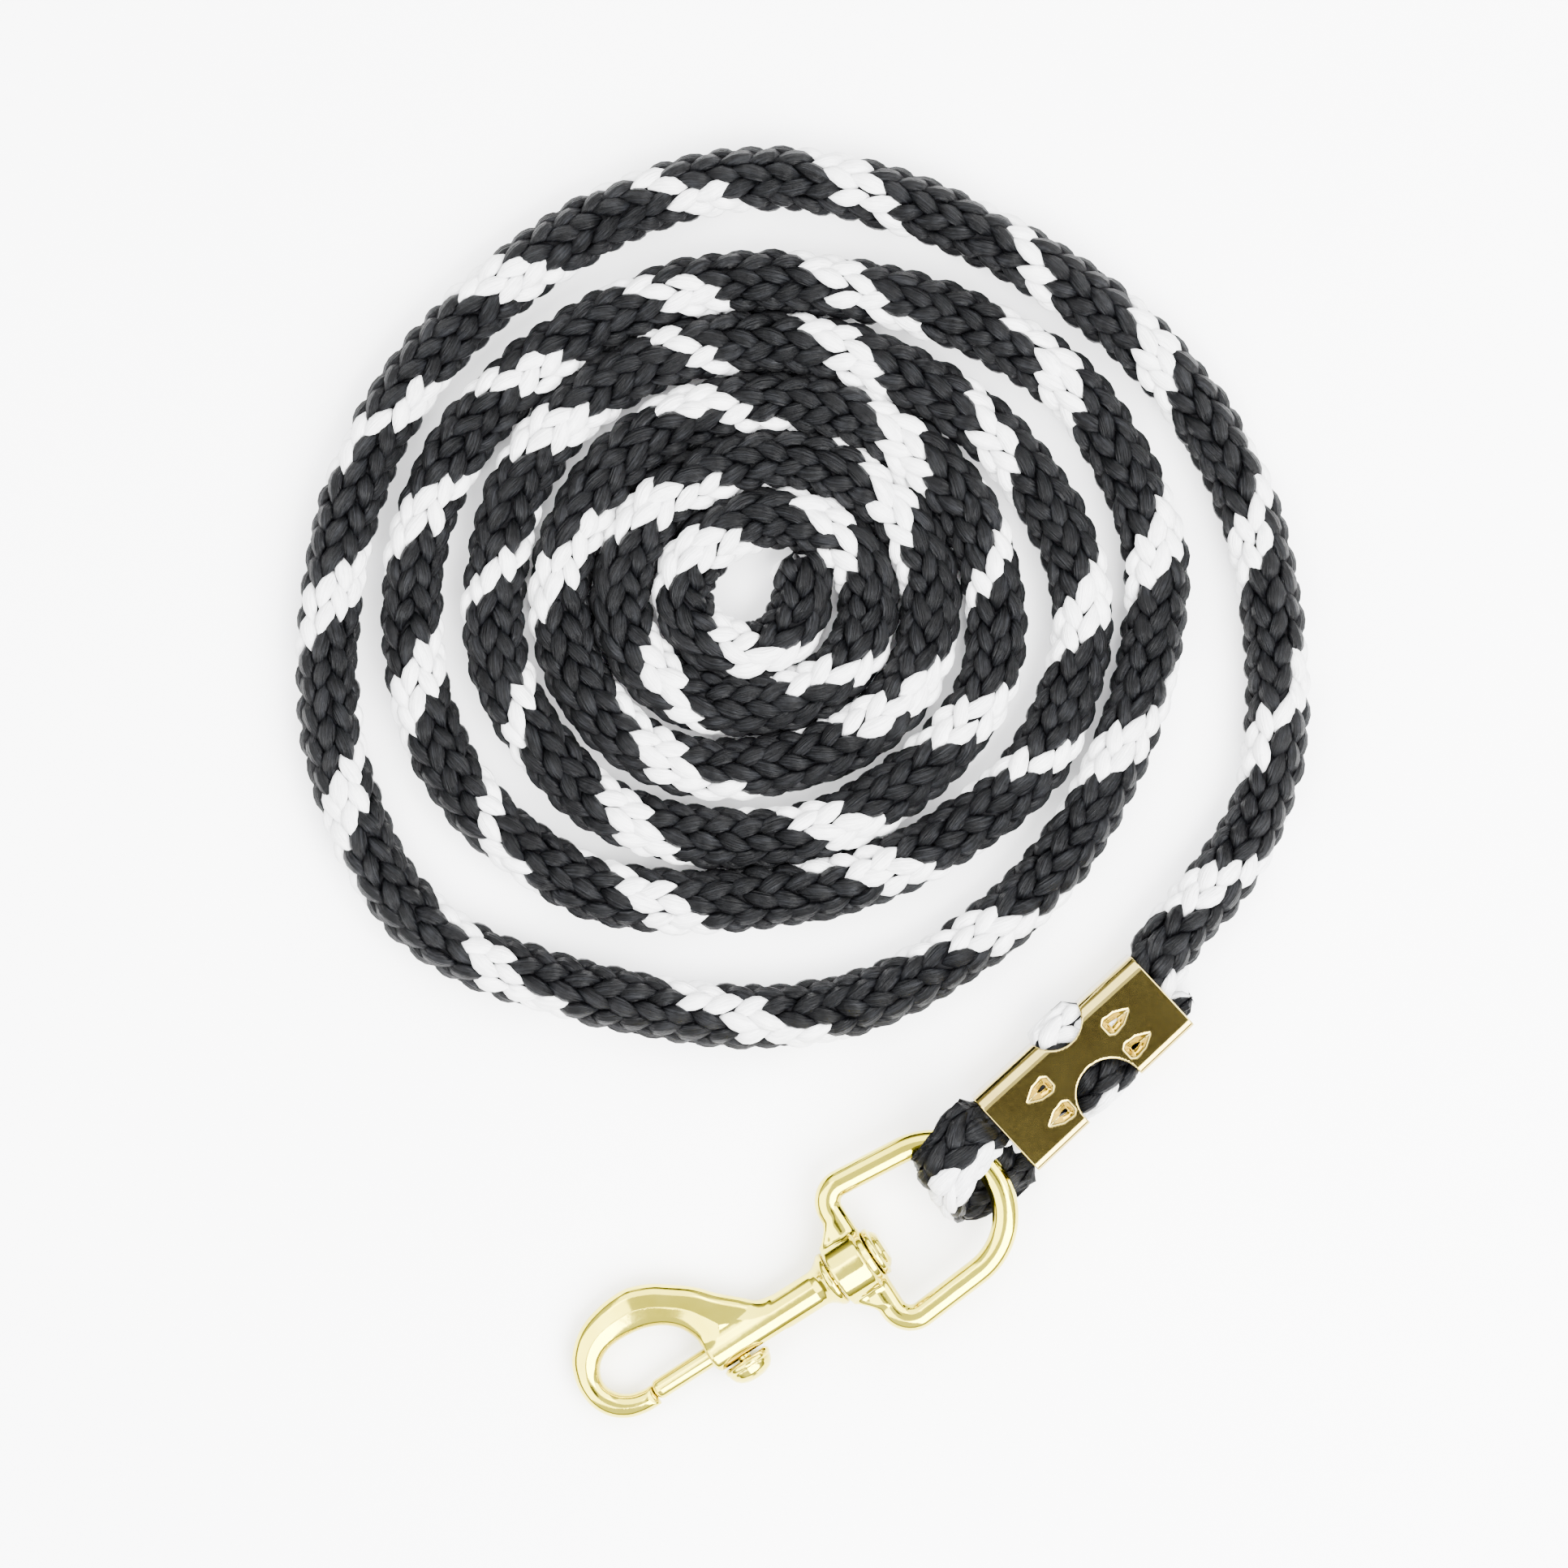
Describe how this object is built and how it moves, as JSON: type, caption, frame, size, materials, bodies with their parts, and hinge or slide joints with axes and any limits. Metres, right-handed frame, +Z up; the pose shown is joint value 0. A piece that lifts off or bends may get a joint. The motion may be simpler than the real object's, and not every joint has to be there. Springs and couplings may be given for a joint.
{
  "type": "lead rope",
  "caption": "Braided lead rope lying coiled, with a sprung-bolt swivel snap held on its end by a folded sheet clamp.",
  "frame": {"origin": "centre of the hardware's box (snap, eye and clamp), on the surface that the rope lies on", "axes": "+X along the snap from its hook to the rope, +Z up from the surface, +Y towards the coiled rope"},
  "size_m": [0.2664, 0.2797, 0.0244],
  "materials": {
    "cast_snap": "polished brass plate on a zinc casting",
    "bolt_metal": "polished brass plate on a turned bolt",
    "spring_steel": "plain spring wire",
    "sheet_brass": "bright brass-plated sheet",
    "rope_yarn": "solid braid of black yarns with one white tracer, slight sheen"
  },
  "bodies": {
    "rope": {"rope_lead": "rope_yarn", "rope_coil": "rope_yarn", "rope_loop": "rope_yarn", "rope_clamp": "sheet_brass"},
    "eye": {"swivel_eye": "cast_snap"},
    "snap": {"snap_body": "cast_snap", "swivel_post": "cast_snap", "bolt_spring": "spring_steel"},
    "bolt": {"snap_bolt": "bolt_metal", "thumb_knob": "cast_snap"}
  },
  "joints": [
    {"name": "eye_flip", "type": "hinge", "parent": "rope", "child": "eye", "pos_m": [0.02633, 0.00252, 0.0121], "axis": [-0.2917, 0.9563, -0.0204], "range_deg": [-75, 75]},
    {"name": "snap_swivel", "type": "hinge", "parent": "eye", "child": "snap", "pos_m": [-0.0149, -0.00265, 0.00922], "axis": [0.9976, 0, 0.0698], "continuous": true},
    {"name": "bolt_slide", "type": "slide", "parent": "snap", "child": "bolt", "axis": [0.9976, 0, 0.0698], "range_m": [0, 0.012], "stiffness_N_per_m": 500, "springref_m": -0.006, "deforming": ["bolt_spring"]}
  ]
}
